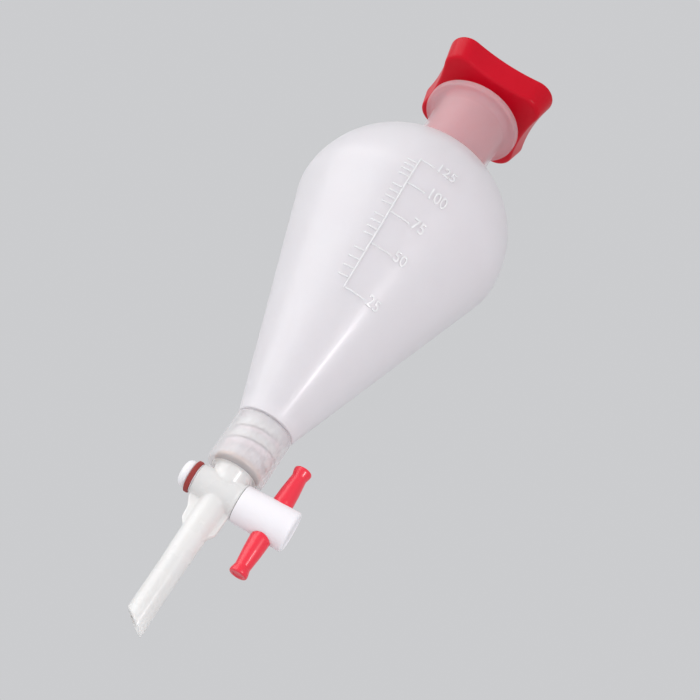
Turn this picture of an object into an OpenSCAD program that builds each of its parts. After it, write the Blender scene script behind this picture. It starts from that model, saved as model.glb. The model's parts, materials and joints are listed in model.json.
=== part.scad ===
// Separatory funnel, 125 mL, pear shaped, with a screwed-on stopcock and a tapered stopper.
// Millimetres. +Z runs up the funnel's axis, with the stem down, and the origin is the centre of
// the circle where the cone rests in its support ring. The stopcock's axis runs along X, with the
// plug's head towards +X, and the raised scale faces -Y.

/* [Flask] */
// Outside diameter of the bulb at its widest
bulb_d = 68.5; // [66:0.5:72]
// Height of the dome above the widest plane
dome_h = 32.6; // [31:0.2:34]
// Radius of the curve from the bulb into the cone
blend_r = 15.5; // [14:0.5:17]
// Half angle of the cone, in degrees
cone_angle = 18.1; // [17.5:0.1:19]
// Wall of the bulb and the cone
wall = 1.2; // [1:0.05:1.4]
// Inside diameter of the support ring that the cone rests in
ring_d = 60; // [58:0.5:62]

/* [Neck and stopper] */
// Inside diameter of the tapered socket at its mouth
socket_d = 24; // [23.5:0.1:24.5]
// Wall of the neck
neck_wall = 1; // [0.9:0.05:1.2]
// Outside diameter of the rim
rim_d = 32.6; // [32:0.2:34]
// Height of the rim above the widest plane
rim_h = 55.3; // [54:0.1:57]
// Height of the stopper's head
head_h = 8.5; // [8:0.1:10]
// How much wider the stopper's head is at its top than underneath
head_flare = 1.1; // [1:0.01:1.12]
// How far the stopper is turned in its socket, in degrees
head_turn = 8; // [-45:1:45]
// Distance from the stopper's axis to the centre of each lobe, underneath
lobe_reach = 16.5; // [16:0.1:17]
// Radius of each lobe, underneath
lobe_r = 6; // [5.8:0.1:6.2]
// Distance from the stopper's axis to the middle of each hollow side, underneath
waist_reach = 16.6; // [16.2:0.1:16.8]

/* [Connector] */
// Outside diameter of the threaded cup
cup_d = 17.4; // [17.2:0.1:18]
// Height of the threaded cup
cup_h = 16.4; // [16.2:0.1:17]
// Pitch of the connector's thread
thread_pitch = 4; // [3.8:0.1:4.2]

/* [Stopcock] */
// Depth of the stopcock's axis below the flask's shoulder
barrel_drop = 23.3; // [23.2:0.1:24]
// Barrel's length from its axis plane to the nut end
barrel_tail = 7.6; // [7.4:0.1:8]
// Barrel's length from its axis plane to the head end
barrel_nose = 5.6; // [5.5:0.1:6]
// Diameter of the plug's cross bore
cross_bore_d = 3; // [2:0.1:3.4]
// Length of the plug's head
head_len = 16.2; // [15.8:0.1:17]
// Overall length of the red bar handle
handle_len = 35; // [32:0.5:38]
// Outside diameter of the stem's straight lower end
stem_d = 7.2; // [7:0.1:7.4]
// Length of the stem below its fins, to its longest point
stem_len = 31; // [30:0.2:34]

/* [Hidden] */
$fn = 96;

// Bulb and cone, in heights from the widest plane
bulb_r = bulb_d / 2;
tangent_z = -blend_r * sin(cone_angle);
tangent_r = bulb_r - blend_r + blend_r * cos(cone_angle);
cup_r = cup_d / 2;
shoulder_z = tangent_z - (tangent_r - cup_r) / tan(cone_angle);
// Height of the widest plane above the support ring's seat
seat_drop = (tangent_r - ring_d / 2) / tan(cone_angle) - tangent_z;

// Socket: a taper of 1 in 10 on the diameter
taper = 0.05;
socket_r = socket_d / 2;
rim_r = rim_d / 2;
rim_t = 2.6;
rim_round = 0.8;
neck_fillet = 2.6;
shoulder_fillet = 2.5;
function socket_at(z) = socket_r - taper * (rim_h - z);
function neck_at(z) = socket_at(z) + neck_wall;

// Connector: the neck below the shoulder, its ridge, the cup around it and the gasket
lower_neck_r = 6;
lower_bore_r = 4.6;
// Height of the turn from the cone's inside into the lower bore
bore_turn_h = 4;
cup_bore_r = 7.35;
cup_gap = 0.5;
cup_floor_t = 1.6;
gasket_t = 1.2;
ridge_root_w = 2.2;
ridge_crest_w = 1.2;
thread_clear = 0.25;
cup_top = shoulder_z - cup_gap;
cup_bottom = cup_top - cup_h;
cup_floor = cup_bottom + cup_floor_t;
neck_end = cup_floor + gasket_t + 0.05;
neck_ridge_turns = 2.6;
neck_ridge_z = shoulder_z - 2 - neck_ridge_turns * thread_pitch;
cup_ridge_turns = 2;
cup_ridge_z = cup_top - 2.3 - cup_ridge_turns * thread_pitch;

// Stopcock: barrel and plug share one tapered fit
barrel_z = shoulder_z - barrel_drop;
barrel_r = 4.95;
barrel_draft = 0.3;
lip_h = 0.45;
lip_t = 0.7;
throat_r = 4.4;
throat_top_r = 5.9;
fit_r = 3.65;
fit_clear = 0.04;
function fit_at(x) = fit_r + taper * x;
// Fins: their height below the stopcock's axis, their thickness, and where their edges run
fin_h = 13.4;
fin_t = 2.2;
fin_top_x = 5.5;
fin_end_x = 5.2;
fin_foot = 1.9;
// The fins start inside the barrel, and the nut's side keeps straight down from the barrel's end
fin_root = 3;
fin_tail_x = barrel_tail - 0.6;
fin_tail_h = 5.2;
fin_shoulder_h = 8.4;
stem_z = barrel_z - fin_h;
tip_z = stem_z - stem_len;
stem_r = stem_d / 2;
stem_top_r = 4.1;
stem_straight = 15;
tip_slant = 5;
bore_r = 1.9;
tip_bore_r = 2.5;

// Plug's head, tail and handle
head_x0 = barrel_nose + 0.15;
head_root_r = 5.45;
head_end_r = 5.95;
head_chamfer = 0.8;
plug_start = -barrel_tail + 0.3;
handle_x = 15.7;
handle_hole_r = 2.85;
handle_swell_r = 2.95;
handle_swell_h = 6.2;
handle_neck_r = 2.7;
handle_neck_h = 10;
handle_waist_r = 2.2;
handle_waist_h = 2.8;
handle_flare_h = 0.9;
handle_edge = 0.3;
handle_tip_r = 2.62;
// How deep a ridge's root is sunk into the body it stands on
ridge_sink = 0.3;
tail_ridge_sink = 0.2;
tail_ridge_steps = 24;
tail_len = 3.4;
tail_r = 1.95;
tail_crest_r = 2.35;
nut_bore_r = 2.5;
tail_pitch = 1.25;
slip_t = 0.35;
slip_r = 4.2;
ring_t = 1.4;
ring_r = 4.65;
nut_len = 2.7;
nut_r = 3.9;
nut_round = 1.7;
nut_floor = 0.6;
washer_gap = 0.02;
slip_x = -barrel_tail - washer_gap;
ring_x = slip_x - slip_t - washer_gap;
nut_x = ring_x - ring_t - washer_gap;
tail_ridge_w = 0.6;
tail_crest_w = 0.25;
tail_ridge_x = -barrel_tail - tail_len + 0.35;
nut_ridge_x = nut_x - 0.35 - tail_pitch;

// Everything is drawn from the bulb's widest plane and raised to stand on the seat's origin.
module raised() {
    translate([0, 0, seat_drop]) children();
}

// Turns a shape drawn along +Z to lie along +X at the stopcock's height.
module along_x(x = 0) {
    translate([x, 0, barrel_z]) rotate([0, 90, 0]) children();
}

function arc(cx, cz, r, from, to, steps) =
    [
        for (i = [0:steps])
            let (a = from + (to - from) * i / steps)
            [cx + r * cos(a), cz + r * sin(a)]
    ];

function dome(rx, rz, from, to, steps) =
    [
        for (i = [0:steps])
            let (a = from + (to - from) * i / steps)
            [rx * cos(a), rz * sin(a)]
    ];

// Radius of the flask's skin at a height from the widest plane
function skin_at(z) =
    z > 0 ? bulb_r * sqrt(1 - pow(z / dome_h, 2))
    : z > tangent_z ? bulb_r - blend_r + sqrt(blend_r * blend_r - z * z)
    : tangent_r + (z - tangent_z) * tan(cone_angle);

// Turn that sets a ridge starting at z midway between the turns of its mate, starting at mate_z
function between_turns(z, mate_z, pitch) = 360 * ((z - mate_z) / pitch - 0.5);

// A right-handed helical ridge from z = 0 upwards. Its ends run down into the root.
module helix_ridge(root_r, crest_r, root_w, crest_w, pitch, turns, steps = 30) {
    n = round(turns * steps);
    side = crest_r > root_r ? 1 : -1;
    fade_steps = steps / 4;
    points = [
        for (i = [0:n])
            let (
                a = 360 * i / steps,
                fade = min(1, 0.25 + 0.75 * min(i, n - i) / fade_steps),
                crest = root_r + (crest_r - root_r) * fade,
                z = pitch * i / steps
            )
            each [
                [root_r * cos(a), root_r * sin(a), z - root_w / 2],
                [crest * cos(a), crest * sin(a), z - crest_w / 2],
                [crest * cos(a), crest * sin(a), z + crest_w / 2],
                [root_r * cos(a), root_r * sin(a), z + root_w / 2]
            ]
    ];
    quads = [
        for (i = [0:n - 1], j = [0:3])
            let (k = (j + 1) % 4)
            [4 * i + j, 4 * i + 4 + j, 4 * i + 4 + k, 4 * i + k]
    ];
    triangles = [for (q = quads) each [[q[0], q[1], q[2]], [q[0], q[2], q[3]]]];
    ends = [[0, 1, 2], [0, 2, 3], [4 * n, 4 * n + 2, 4 * n + 1], [4 * n, 4 * n + 3, 4 * n + 2]];
    faces = concat(triangles, ends);
    polyhedron(points, side < 0 ? faces : [for (f = faces) [f[2], f[1], f[0]]]);
}

// --- Flask -------------------------------------------------------------------------------------

// Half section of the flask's skin, from the lower neck's end up and round to the rim
function flask_outside() =
    let (
        t = acos((neck_at(33) + shoulder_fillet) / (bulb_r + shoulder_fillet)),
        nx = cos(t) / bulb_r,
        nz = sin(t) / dome_h,
        n = norm([nx, nz]),
        fillet_z = dome_h * sin(t) + shoulder_fillet * nz / n,
        fillet_r = bulb_r * cos(t) + shoulder_fillet * nx / n,
        under = rim_h - rim_t,
        fillet_x = neck_at(under - neck_fillet) + neck_fillet
    )
    concat(
        [[lower_neck_r, neck_end], [lower_neck_r, shoulder_z], [cup_r, shoulder_z]],
        arc(bulb_r - blend_r, 0, blend_r, -cone_angle, 0, 6),
        dome(bulb_r, dome_h, 4, t, 16),
        arc(fillet_r, fillet_z, shoulder_fillet, 180 + atan2(nz, nx), 180, 6),
        arc(fillet_x, under - neck_fillet, neck_fillet, 180, 90, 6),
        arc(rim_r - rim_round, under + rim_round, rim_round, -90, 0, 4),
        arc(rim_r - rim_round, rim_h - rim_round, rim_round, 0, 90, 4)
    );

// Half section of the flask's hollow, from the rim down and round to the lower neck's end
function flask_inside() =
    let (
        inner_r = bulb_r - wall,
        inner_h = dome_h - wall,
        t = acos(socket_at(30) / inner_r),
        floor_z = shoulder_z + bore_turn_h
    )
    concat(
        [[socket_r + 0.5, rim_h], [socket_r, rim_h - 0.5]],
        [[socket_at(inner_h * sin(t)), inner_h * sin(t)]],
        dome(inner_r, inner_h, t - 1, 0, 16),
        arc(bulb_r - blend_r, 0, blend_r - wall, -2, -cone_angle, 5),
        [[skin_at(floor_z) - wall / cos(cone_angle), floor_z], [lower_bore_r, shoulder_z + 0.3],
         [lower_bore_r, neck_end]]
    );

scale_low = -41.45;
scale_high = 1.55;
line_relief = 0.42;
tick_relief = 0.32;
scale_line = 0.6;
major_ticks = [-41.2, -27, -16.7, -7.1, 1.3];
major_len = [7, 7, 6.8, 6.2, 4.6];
minor_len = 3.6;
minors_between = 4;

// A raised strip on the skin facing -Y: from z_low to z_high, and from `left` to `right` of the
// base line, both as lengths along the skin
module skin_strip(z_low, z_high, left, right, relief) {
    r_mid = skin_at((z_low + z_high) / 2);
    steps = max(1, ceil((z_high - z_low) / 1.7));
    heights = [for (i = [0:steps]) z_low + (z_high - z_low) * i / steps];
    turn_from = -90 + left * 180 / (PI * r_mid);
    rotate([0, 0, turn_from])
        rotate_extrude(angle = (right - left) * 180 / (PI * r_mid))
            polygon(concat(
                [for (z = heights) [skin_at(z) + relief, z]],
                [for (i = [steps:-1:0]) [skin_at(heights[i]) - relief, heights[i]]]
            ));
}

module graduation_scale() {
    skin_strip(scale_low, scale_high, -scale_line / 2, scale_line / 2, line_relief);
    for (i = [0:len(major_ticks) - 1]) {
        z = major_ticks[i];
        skin_strip(z - scale_line / 2, z + scale_line / 2, 0, major_len[i], tick_relief);
    }
    for (i = [0:len(major_ticks) - 2], j = [1:minors_between]) {
        z = major_ticks[i] + (major_ticks[i + 1] - major_ticks[i]) * j / (minors_between + 1);
        skin_strip(z - scale_line / 2, z + scale_line / 2, -minor_len, 0, tick_relief);
    }
}

module flask() {
    color([0.95, 0.94, 0.95]) raised() {
        rotate_extrude() polygon(concat(flask_outside(), flask_inside()));
        graduation_scale();
        translate([0, 0, neck_ridge_z])
            helix_ridge(lower_neck_r - ridge_sink, cup_bore_r - thread_clear, ridge_root_w,
                        ridge_crest_w, thread_pitch, neck_ridge_turns);
    }
}

// --- Stopper -----------------------------------------------------------------------------------

plug_clear = 0.08;
plug_wall = 1.3;
plug_low = 31.5;
head_z = rim_h + 3.4;
core_top = head_z + 4;

// Outline of the four-lobed head: each lobe runs smoothly into the hollow side next to it
module lobed_outline() {
    lobe_c = lobe_reach * cos(45);
    dip = waist_reach - lobe_c;
    side_r = (dip * dip + lobe_c * lobe_c - lobe_r * lobe_r) / (2 * (lobe_r - dip));
    side_half = asin(lobe_c / (side_r + lobe_r));
    quarter = concat(
        arc(waist_reach + side_r, 0, side_r, 180 + side_half, 180 - side_half, 6),
        arc(lobe_c, lobe_c, lobe_r, -side_half, 90 + side_half, 12)
    );
    polygon([
        for (turn = [0:90:270], p = quarter)
            [p[0] * cos(turn) - p[1] * sin(turn), p[0] * sin(turn) + p[1] * cos(turn)]
    ]);
}

module stopper() {
    color([0.76, 0.07, 0.12]) raised() difference() {
        union() {
            translate([0, 0, head_z]) rotate([0, 0, head_turn])
                linear_extrude(head_h, scale = head_flare) lobed_outline();
            rotate_extrude() polygon([
                [0, plug_low], [socket_at(plug_low) - plug_clear - 0.6, plug_low],
                [socket_at(plug_low + 0.6) - plug_clear, plug_low + 0.6],
                [socket_at(head_z) - plug_clear, head_z],
                [socket_at(head_z), head_z + 1], [0, head_z + 1]
            ]);
        }
        rotate_extrude() polygon([
            [0, plug_low - 1], [socket_at(plug_low) - plug_wall, plug_low - 1],
            [socket_at(head_z) - plug_wall, head_z],
            [socket_at(head_z) - plug_wall - 1.5, core_top],
            [0, core_top]
        ]);
    }
}

// --- Connector gasket --------------------------------------------------------------------------

module connector_gasket() {
    color([0.78, 0.6, 0.5]) raised() translate([0, 0, cup_floor]) difference() {
        cylinder(r = cup_bore_r - 0.25, h = gasket_t);
        translate([0, 0, -1]) cylinder(r = lower_bore_r - 0.4, h = gasket_t + 2);
    }
}

// --- Stopcock housing --------------------------------------------------------------------------

module housing_body() {
    translate([0, 0, cup_bottom + 0.8]) cylinder(r = cup_r, h = cup_h - 0.8);
    translate([0, 0, cup_bottom]) cylinder(r1 = cup_r - 0.8, r2 = cup_r, h = 0.8);
    translate([0, 0, barrel_z])
        cylinder(r1 = throat_r, r2 = throat_top_r, h = cup_bottom - barrel_z + 0.5);
    along_x(-barrel_tail)
        cylinder(r1 = barrel_r - barrel_draft, r2 = barrel_r + barrel_draft,
                 h = barrel_tail + barrel_nose);
    along_x(barrel_nose - lip_t) cylinder(r = barrel_r + lip_h, h = lip_t);
    fins();
    stem();
}

// Flat fins either side of the stem's top, in the plane of both axes. The one towards the nut
// reaches out to the barrel's end.
module fins() {
    translate([0, fin_t / 2, barrel_z]) rotate([90, 0, 0]) linear_extrude(fin_t) polygon([
        [-fin_tail_x, -fin_root], [-fin_tail_x, -fin_tail_h], [-fin_top_x, -fin_shoulder_h],
        [-fin_end_x, fin_foot - fin_h], [-stem_r - 0.2, -fin_h],
        [stem_r + 0.2, -fin_h], [fin_end_x, fin_foot - fin_h], [fin_top_x, -fin_root]
    ]);
}

module stem() {
    straight_top = tip_z + stem_straight + tip_slant;
    difference() {
        union() {
            translate([0, 0, tip_z]) cylinder(r = stem_r, h = stem_straight + tip_slant);
            translate([0, 0, straight_top])
                cylinder(r1 = stem_r, r2 = stem_top_r, h = barrel_z - straight_top);
        }
        translate([stem_r, 0, tip_z]) rotate([0, atan2(tip_slant, stem_d), 0])
            translate([-20, -10, -10]) cube([40, 20, 10]);
    }
}

module stopcock_housing() {
    color([0.96, 0.94, 0.93]) raised() {
        difference() {
            housing_body();
            // Turned a little, so that the thread's run-out doesn't end on the bore's seam
            translate([0, 0, cup_floor]) rotate([0, 0, 5]) cylinder(r = cup_bore_r, h = cup_h);
            translate([0, 0, barrel_z]) cylinder(r = bore_r, h = 10);
            along_x(-barrel_tail - 1)
                cylinder(r1 = fit_at(-barrel_tail - 1), r2 = fit_at(barrel_nose + 1),
                         h = barrel_tail + barrel_nose + 2);
            translate([0, 0, stem_z - 1]) cylinder(r = bore_r, h = fin_h + 1);
            translate([0, 0, tip_z - 1]) cylinder(r1 = tip_bore_r, r2 = bore_r, h = stem_len);
        }
        translate([0, 0, cup_ridge_z])
            rotate([0, 0, between_turns(cup_ridge_z, neck_ridge_z, thread_pitch)])
            helix_ridge(cup_bore_r + ridge_sink, lower_neck_r + thread_clear, ridge_root_w,
                        ridge_crest_w, thread_pitch, cup_ridge_turns);
    }
}

// --- Stopcock plug and handle ------------------------------------------------------------------

module stopcock_plug() {
    color([0.97, 0.97, 0.97]) raised() {
        difference() {
            union() {
                along_x(plug_start)
                    cylinder(r1 = fit_at(plug_start) - fit_clear, r2 = fit_at(head_x0) - fit_clear,
                             h = head_x0 - plug_start);
                along_x(head_x0)
                    cylinder(r1 = head_root_r, r2 = head_end_r, h = head_len - head_chamfer);
                along_x(head_x0 + head_len - head_chamfer)
                    cylinder(r1 = head_end_r, r2 = head_end_r - head_chamfer, h = head_chamfer);
                along_x(-barrel_tail - tail_len) cylinder(r = tail_r, h = tail_len + 1);
            }
            translate([0, 0, barrel_z - 10]) cylinder(r = cross_bore_d / 2, h = 20);
            translate([handle_x, 0, barrel_z - 10]) cylinder(r = handle_hole_r, h = 20);
        }
        along_x(tail_ridge_x)
            helix_ridge(tail_r - tail_ridge_sink, tail_crest_r, tail_ridge_w, tail_crest_w,
                        tail_pitch, 2.25, tail_ridge_steps);
    }
}

module plug_handle() {
    half = handle_len / 2;
    // Radius and height of one arm: the shank in the plug, the swell, the waist and the flared tip
    side = [
        [handle_hole_r, 0], [handle_hole_r, handle_swell_h - 1.2], [handle_swell_r, handle_swell_h],
        [handle_neck_r, handle_neck_h], [handle_waist_r, half - handle_waist_h],
        [handle_waist_r, half - handle_waist_h + 0.6], [handle_tip_r, half - handle_flare_h],
        [handle_tip_r, half - handle_flare_h + 0.5], [handle_tip_r - handle_edge, half]
    ];
    lower = [for (i = [len(side) - 1:-1:1]) [side[i][0], -side[i][1]]];
    color([0.93, 0.23, 0.28]) raised() translate([handle_x, 0, barrel_z])
        rotate_extrude() polygon(concat(lower, side, [[0, half], [0, -half]]));
}

// --- Washers and nut ---------------------------------------------------------------------------

// A flat ring on the plug's tail, from x towards -X
module tail_ring(x, r, t) {
    along_x(x - t) difference() {
        cylinder(r = r, h = t);
        translate([0, 0, -1]) cylinder(r = tail_crest_r + 0.1, h = t + 2);
    }
}

module slip_washer() {
    color("white") raised() tail_ring(slip_x, slip_r, slip_t);
}

module tension_washer() {
    color([0.7, 0.3, 0.28]) raised() tail_ring(ring_x, ring_r, ring_t);
}

module retaining_nut() {
    color([0.96, 0.95, 0.96]) raised() {
        along_x(nut_x - nut_len) difference() {
            rotate_extrude() polygon(concat(
                [[0, nut_len], [nut_r, nut_len]],
                arc(nut_r - nut_round, nut_round, nut_round, 0, -90, 6),
                [[0, 0]]
            ));
            translate([0, 0, nut_floor]) cylinder(r = nut_bore_r, h = nut_len);
        }
        along_x(nut_ridge_x) rotate([0, 0, between_turns(nut_ridge_x, tail_ridge_x, tail_pitch)])
            helix_ridge(nut_bore_r + tail_ridge_sink, tail_r + 0.15, tail_ridge_w, tail_crest_w,
                        tail_pitch, 1, tail_ridge_steps);
    }
}

flask();
stopper();
connector_gasket();
stopcock_housing();
stopcock_plug();
plug_handle();
slip_washer();
tension_washer();
retaining_nut();
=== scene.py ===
"""Looks of the separatory funnel: smooth mouldings, materials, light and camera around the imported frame."""

import json
import math

import bmesh
import bpy
from mathutils import Matrix, Vector


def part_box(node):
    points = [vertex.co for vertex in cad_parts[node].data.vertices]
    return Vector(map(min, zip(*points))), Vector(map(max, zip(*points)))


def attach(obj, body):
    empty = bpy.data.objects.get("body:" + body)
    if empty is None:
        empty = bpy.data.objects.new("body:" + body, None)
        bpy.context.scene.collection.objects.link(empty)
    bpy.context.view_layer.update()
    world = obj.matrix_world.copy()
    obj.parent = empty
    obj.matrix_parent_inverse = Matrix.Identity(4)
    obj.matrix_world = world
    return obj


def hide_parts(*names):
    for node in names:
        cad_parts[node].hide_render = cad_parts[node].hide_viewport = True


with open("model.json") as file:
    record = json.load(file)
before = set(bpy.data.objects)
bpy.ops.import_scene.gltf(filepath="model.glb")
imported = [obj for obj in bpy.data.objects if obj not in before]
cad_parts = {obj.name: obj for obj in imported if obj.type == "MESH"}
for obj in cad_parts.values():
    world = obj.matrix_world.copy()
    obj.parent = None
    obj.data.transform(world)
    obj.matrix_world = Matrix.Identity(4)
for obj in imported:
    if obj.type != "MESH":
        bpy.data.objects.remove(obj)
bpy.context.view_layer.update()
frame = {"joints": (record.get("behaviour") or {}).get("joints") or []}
MM = 0.001

# --- Driving sizes, in millimetres -----------------------------------------------------------------


def box_mm(node):
    """Lowest and highest corner of a CAD node, in millimetres."""
    low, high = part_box(node)
    return low / MM, high / MM


flask_low, flask_high = box_mm("flask")
housing_low, housing_high = box_mm("stopcock_housing")
stopper_low, stopper_high = box_mm("stopper")
gasket_low, gasket_high = box_mm("connector_gasket")
handle_low, handle_high = box_mm("plug_handle")
plug_low, plug_high = box_mm("stopcock_plug")
slip_low, slip_high = box_mm("slip_washer")
ring_low, ring_high = box_mm("tension_washer")
nut_low, nut_high = box_mm("retaining_nut")

# Flask, in heights from the bulb's widest plane
RIM_H = 55.3
WIDEST = flask_high.z - RIM_H
BULB_R = min(flask_high.x, flask_high.y)
DOME_H = 32.6
BLEND_R = 15.5
CONE = math.radians(18.1)
WALL = 1.2
SLANT_WALL = WALL / math.cos(CONE)
TAPER = 0.05  # radius per length: 1 in 10 on the diameter
SOCKET_R = 12.0
SOCKET_FOOT_H = 30.0
NECK_WALL = 1.0
NECK_FOOT_H = 33.0
RIM_R = 16.3
RIM_T = 2.6
LOWER_NECK_R = 6.0
LOWER_BORE_R = 4.6
CUP_R = housing_high.y
TANGENT_Z = -BLEND_R * math.sin(CONE)
TANGENT_R = BULB_R - BLEND_R + BLEND_R * math.cos(CONE)
SHOULDER_Z = TANGENT_Z - (TANGENT_R - CUP_R) / math.tan(CONE)
NECK_END = flask_low.z - WIDEST

# The flask's edges, fillets and the funnel floor of its hollow
NECK_FILLET = 2.5
NECK_TOP_DROP = 2.6
RIM_FILLET = 2.4
RIM_EDGE_UNDER = 0.55
RIM_EDGE_OUTER = 0.7
RIM_EDGE_INNER = 0.5
NECK_CHAMFER = 0.4
SHOULDER_EDGE = 0.25
CONE_START_H = 2.0
SOCKET_EASE_H = 1.2
SOCKET_STEP = 0.25
SOCKET_STEP_H = 0.1
FLOOR_H = 4.0
FLOOR_RUN = 8.0
FLOOR_ROUND = 4.0
BORE_TOP_H = 0.3
BORE_ROUND = 3.0
MEET_DEG = 1.5  # left out where two curves meet, so that no two points are too close

# Connector, from the same plane
CUP_BORE_R = 7.35
CUP_TOP = housing_high.z - WIDEST
CUP_FLOOR = gasket_low.z - WIDEST
CUP_FLOOR_T = 1.6
CUP_BOTTOM = CUP_FLOOR - CUP_FLOOR_T
CUP_ROUND = 1.2
CUP_EDGE = 0.3
GASKET_CLEAR = 0.25
GASKET_OVERLAP = 0.4
GASKET_EDGE = 0.3
PITCH = 4.0
RIDGE_ROOT_W = 2.2
RIDGE_CREST_W = 1.2
RIDGE_SINK = 0.2
THREAD_CLEAR = 0.25
NECK_RIDGE_TURNS = 2.6
NECK_RIDGE_DROP = 2.0
NECK_RIDGE_Z = SHOULDER_Z - NECK_RIDGE_DROP - NECK_RIDGE_TURNS * PITCH
CUP_RIDGE_TURNS = 2
CUP_RIDGE_DROP = 2.3
CUP_RIDGE_Z = CUP_TOP - CUP_RIDGE_DROP - CUP_RIDGE_TURNS * PITCH

# Stopcock housing, from the same plane; the barrel's lengths run both ways from the funnel's axis
BARREL_Z = next(j for j in frame["joints"] if j["name"] == "plug_turn")["pos_m"][2] / MM - WIDEST
BARREL_TAIL = 7.6
BARREL_NOSE = 5.6
BARREL_R = 4.95
BARREL_TAIL_R = BARREL_R - 0.35
BARREL_NOSE_R = BARREL_R + 0.17
LIP_R = BARREL_R + 0.45
LIP_W = 0.7
LIP_FOOT_W = 0.9
FIT_R = 3.65
THROAT_TOP_R = 5.9
THROAT_LOW_R = 4.4
THROAT_RISE = 0.5
UPPER_BORE_R = 1.9
TIP_Z = housing_low.z - WIDEST
TIP_SLANT = 5.0
TIP_BORE_R = 2.5
STEM_R = 3.6
STEM_ROOT_R = 4.1
STEM_STRAIGHT = 15.0
FIN_T = 2.2
FIN_ROOT_H = 3.0
FIN_TAIL_X = BARREL_TAIL - 0.6
FIN_TAIL_H = 5.2
FIN_SHOULDER_X = 5.5
FIN_SHOULDER_H = 8.4
FIN_WAIST_X = 5.2
FIN_WAIST_H = 11.5
FIN_FOOT_X = STEM_R + 0.2
FIN_FOOT_H = 13.4
PAST = 1.0  # how far a cutter reaches past what it cuts
HOUSING_VOXEL = 0.16

# Plug, handle, washers and nut
PLUG_HEAD_GAP = 0.15
PLUG_START = 0.3
PLUG_FIT_CLEAR = 0.04
PLUG_HEAD_R = 5.45
PLUG_END_R = 5.93
PLUG_DISH_OUTER = 4.9
PLUG_DISH_INNER = 4.6
PLUG_DISH = 0.3
CROSS_BORE_R = 1.5
CROSS_REACH = 9.0
TAIL_R = 1.95
TAIL_CREST_R = 2.35
TAIL_SINK = 0.15
TAIL_RIDGE_ROOT_W = 0.6
TAIL_RIDGE_CREST_W = 0.25
TAIL_PITCH = 1.25
TAIL_TURNS = 2.25
TAIL_RIDGE_START = 0.35
HANDLE_X = (handle_low.x + handle_high.x) / 2
HANDLE_HALF = (handle_high.z - handle_low.z) / 2
HANDLE_R = 2.85
HANDLE_ROOT_H = 5.0
HANDLE_SWELL_R = 2.95
HANDLE_SWELL_H = 6.2
HANDLE_WAIST_R = 2.72
HANDLE_WAIST_H = 10.0
HANDLE_NECK_R = 2.2
HANDLE_NECK_DROP = 2.6
HANDLE_FLARE_R = 2.62
HANDLE_FLARE_DROP = 0.95
HANDLE_DISH_OUTER = 1.6
HANDLE_DISH_INNER = 1.3
HANDLE_DISH = 0.25
RING_BORE_R = 2.45
NUT_BORE_R = 2.5
NUT_CAP_T = 0.6
NUT_DOME = 1.7
NUT_EDGE = 0.35
NUT_BORE_EDGE = 0.2


def fit_at(x):
    """Radius of the barrel's tapered seat at a place along it."""
    return FIT_R + TAPER * x


def socket_at(z):
    """Radius of the neck's tapered socket at a height from the widest plane."""
    return SOCKET_R - TAPER * (RIM_H - z)


def skin_at(z):
    """Radius of the flask's skin at a height from the widest plane."""
    if z > 0:
        return BULB_R * math.sqrt(1 - (z / DOME_H) ** 2)
    if z > TANGENT_Z:
        return BULB_R - BLEND_R + math.sqrt(BLEND_R**2 - z * z)
    return TANGENT_R + (z - TANGENT_Z) * math.tan(CONE)


# --- Outlines --------------------------------------------------------------------------------------


def arc(cx, cy, r, start, end, steps):
    """Points of an arc, angles in degrees."""
    turns = [math.radians(start + (end - start) * i / steps) for i in range(steps + 1)]
    return [(cx + r * math.cos(a), cy + r * math.sin(a)) for a in turns]


def ellipse(rx, ry, start, end, steps):
    """Points of an ellipse about the origin, angles in degrees."""
    turns = [math.radians(start + (end - start) * i / steps) for i in range(steps + 1)]
    return [(rx * math.cos(a), ry * math.sin(a)) for a in turns]


def rounded(corners, steps=6, closed=False):
    """The outline through corners (x, y, radius), each corner rounded off by its radius."""
    out = []
    count = len(corners)
    for i, (x, y, radius) in enumerate(corners):
        here = Vector((x, y))
        if radius == 0 or (not closed and i in (0, count - 1)):
            out.append((x, y))
            continue
        back = (Vector(corners[i - 1][:2]) - here).normalized()
        on = (Vector(corners[(i + 1) % count][:2]) - here).normalized()
        half = back.angle(on) / 2
        centre = here + (back + on).normalized() * radius / math.sin(half)
        first = here + back * radius / math.tan(half) - centre
        last = here + on * radius / math.tan(half) - centre
        sweep = first.angle_signed(last)
        for k in range(steps + 1):
            turn = Matrix.Rotation(-sweep * k / steps, 2)
            out.append(tuple(centre + turn @ first))
    return out


# --- Meshes ----------------------------------------------------------------------------------------


def finish_mesh(name, verts, faces, material, sharp=40):
    """A smooth-shaded object from points in millimetres above the widest plane."""
    mesh = bpy.data.meshes.new(name)
    mesh.from_pydata([(x * MM, y * MM, (z + WIDEST) * MM) for x, y, z in verts], [], faces)
    piece = bpy.data.objects.new(name, mesh)
    bpy.context.scene.collection.objects.link(piece)
    clean(piece, sharp)
    mesh.materials.append(material)
    return piece


def clean(piece, sharp=40):
    """Faces point outwards, near-double points are merged, and only real edges stay sharp."""
    work = bmesh.new()
    work.from_mesh(piece.data)
    bmesh.ops.remove_doubles(work, verts=work.verts, dist=1e-7)
    bmesh.ops.recalc_face_normals(work, faces=work.faces)
    work.to_mesh(piece.data)
    work.free()
    for face in piece.data.polygons:
        face.use_smooth = True
    piece.data.set_sharp_from_angle(angle=math.radians(sharp))


def along_z(r, height, turn):
    """A point r from the funnel's axis, at a height and a turn round it."""
    return (r * math.cos(turn), r * math.sin(turn), height)


def along_x(r, height, turn):
    """As along_z, but lying on the stopcock's axis: height is x."""
    return (height, r * math.sin(turn), BARREL_Z + r * math.cos(turn))


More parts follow.
